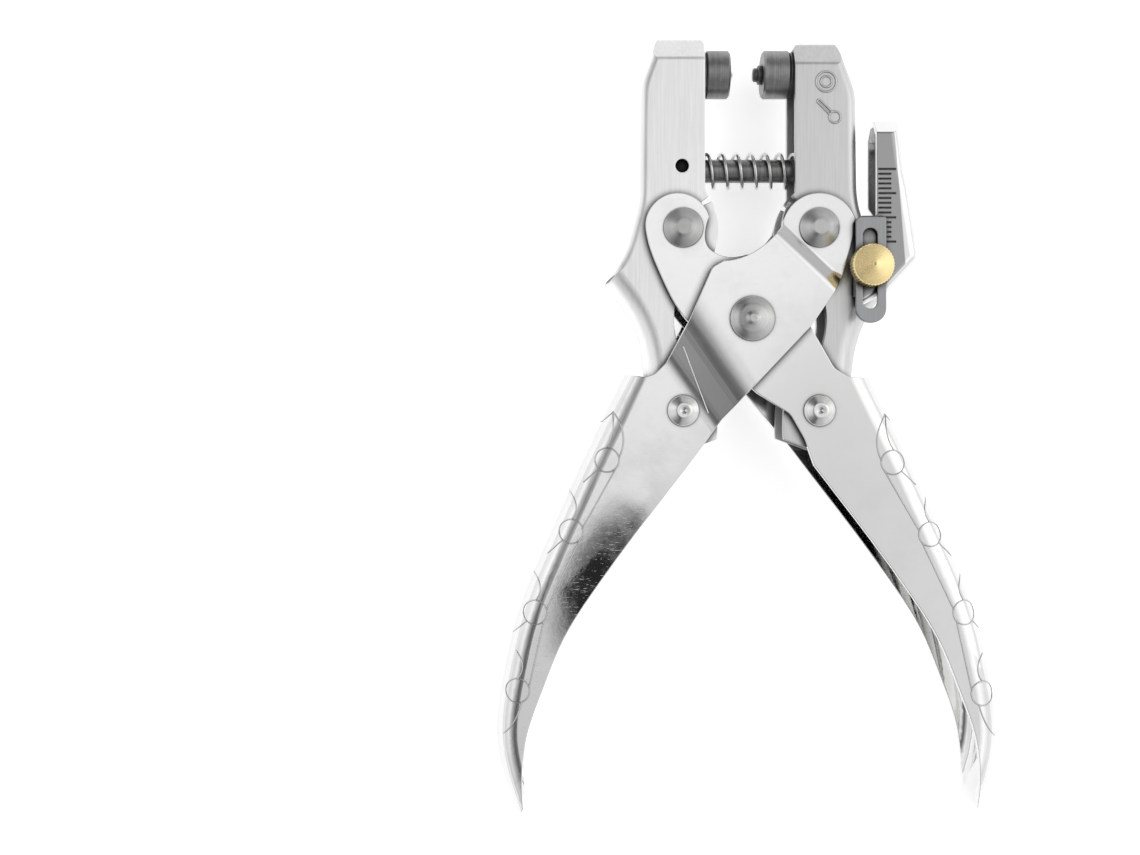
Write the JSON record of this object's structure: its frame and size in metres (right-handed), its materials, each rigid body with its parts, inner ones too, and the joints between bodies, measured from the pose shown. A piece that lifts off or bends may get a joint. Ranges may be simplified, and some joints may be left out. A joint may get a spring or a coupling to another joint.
{
  "type": "parallel-jaw eyelet pliers",
  "caption": "Parallel-action hand pliers with a sprung setting pin and facing die between channel jaws, a guided return spring and a sliding edge gauge with thumb screw.",
  "frame": {"origin": "flat end of the main pivot's back head, on the main pivot's axis", "axes": "+Z out of the front face along the main pivot, +Y towards the jaws, +X to the side of the gauge"},
  "size_m": [0.1049, 0.1621, 0.0251],
  "materials": {
    "jaw_sheet": "nickel-plated sheet, satin ground along the jaw",
    "handle_sheet": "bright nickel plate, polished, with fine handling scratches",
    "turned_steel": "plated turned steel with riveted ends",
    "die_steel": "dark turned tool steel",
    "spring_wire": "bright drawn wire",
    "gauge_plate": "grey plated sheet, fine brushing",
    "gauge_sheet": "polished plate with dark graduation lines",
    "screw_brass": "turned brass, knurled edge"
  },
  "bodies": {
    "outer_lever": {"outer_handle": "handle_sheet", "main_pivot_rivet": "turned_steel", "main_pivot_sleeve": "turned_steel", "right_jaw_pivot_rivet": "turned_steel", "left_slide_pin": "turned_steel"},
    "inner_lever": {"inner_handle": "handle_sheet", "left_jaw_pivot_rivet": "turned_steel", "right_slide_pin": "turned_steel"},
    "right_jaw": {"right_jaw": "jaw_sheet", "right_pivot_sleeve": "turned_steel", "right_die": "die_steel", "setting_pin_spring": "spring_wire", "gauge_bracket": "gauge_plate"},
    "left_jaw": {"left_jaw": "jaw_sheet", "left_pivot_sleeve": "turned_steel", "left_die": "die_steel", "left_die_point": "die_steel", "guide_rod": "die_steel", "guide_rod_pin": "turned_steel", "return_spring": "spring_wire"},
    "setting_pin": {"setting_pin": "die_steel"},
    "gauge_slide": {"gauge_scale": "gauge_sheet", "gauge_nut": "turned_steel"},
    "thumb_screw": {"gauge_thumb_screw": "screw_brass"}
  },
  "joints": [
    {"name": "handle_pivot", "type": "hinge", "parent": "outer_lever", "child": "inner_lever", "pos_m": [0, 0, 0.011], "axis": [0, 0, -1], "range_deg": [0, 19.57], "stiffness_Nm_per_rad": 0.4, "springref_deg": -22.92, "deforming": ["return_spring"]},
    {"name": "right_jaw_pivot", "type": "hinge", "parent": "outer_lever", "child": "right_jaw", "pos_m": [0.0141, 0.01895, 0.011], "axis": [0, 0, -1], "range_deg": [0, 9.78]},
    {"name": "left_jaw_pivot", "type": "hinge", "parent": "inner_lever", "child": "left_jaw", "pos_m": [-0.0141, 0.01895, 0.011], "axis": [0, 0, -1], "range_deg": [-9.78, 0]},
    {"name": "setting_pin_slide", "type": "slide", "parent": "right_jaw", "child": "setting_pin", "axis": [1, 0, 0], "range_m": [0, 0.0029], "deforming": ["setting_pin_spring"]},
    {"name": "gauge_slide", "type": "slide", "parent": "right_jaw", "child": "gauge_slide", "axis": [0, 1, 0], "range_m": [-0.0074, 0.0065]},
    {"name": "thumb_screw_turn", "type": "hinge", "parent": "gauge_slide", "child": "thumb_screw", "pos_m": [0.0242, 0.0107, 0.0225], "axis": [0, 0, 1], "continuous": true}
  ],
  "couplings": [
    {"joint": "right_jaw_pivot", "follows": "handle_pivot", "ratio": 0.5},
    {"joint": "left_jaw_pivot", "follows": "handle_pivot", "ratio": -0.5},
    {"joint": "setting_pin_slide", "follows": "handle_pivot", "m_per_rad": 0.00849}
  ]
}
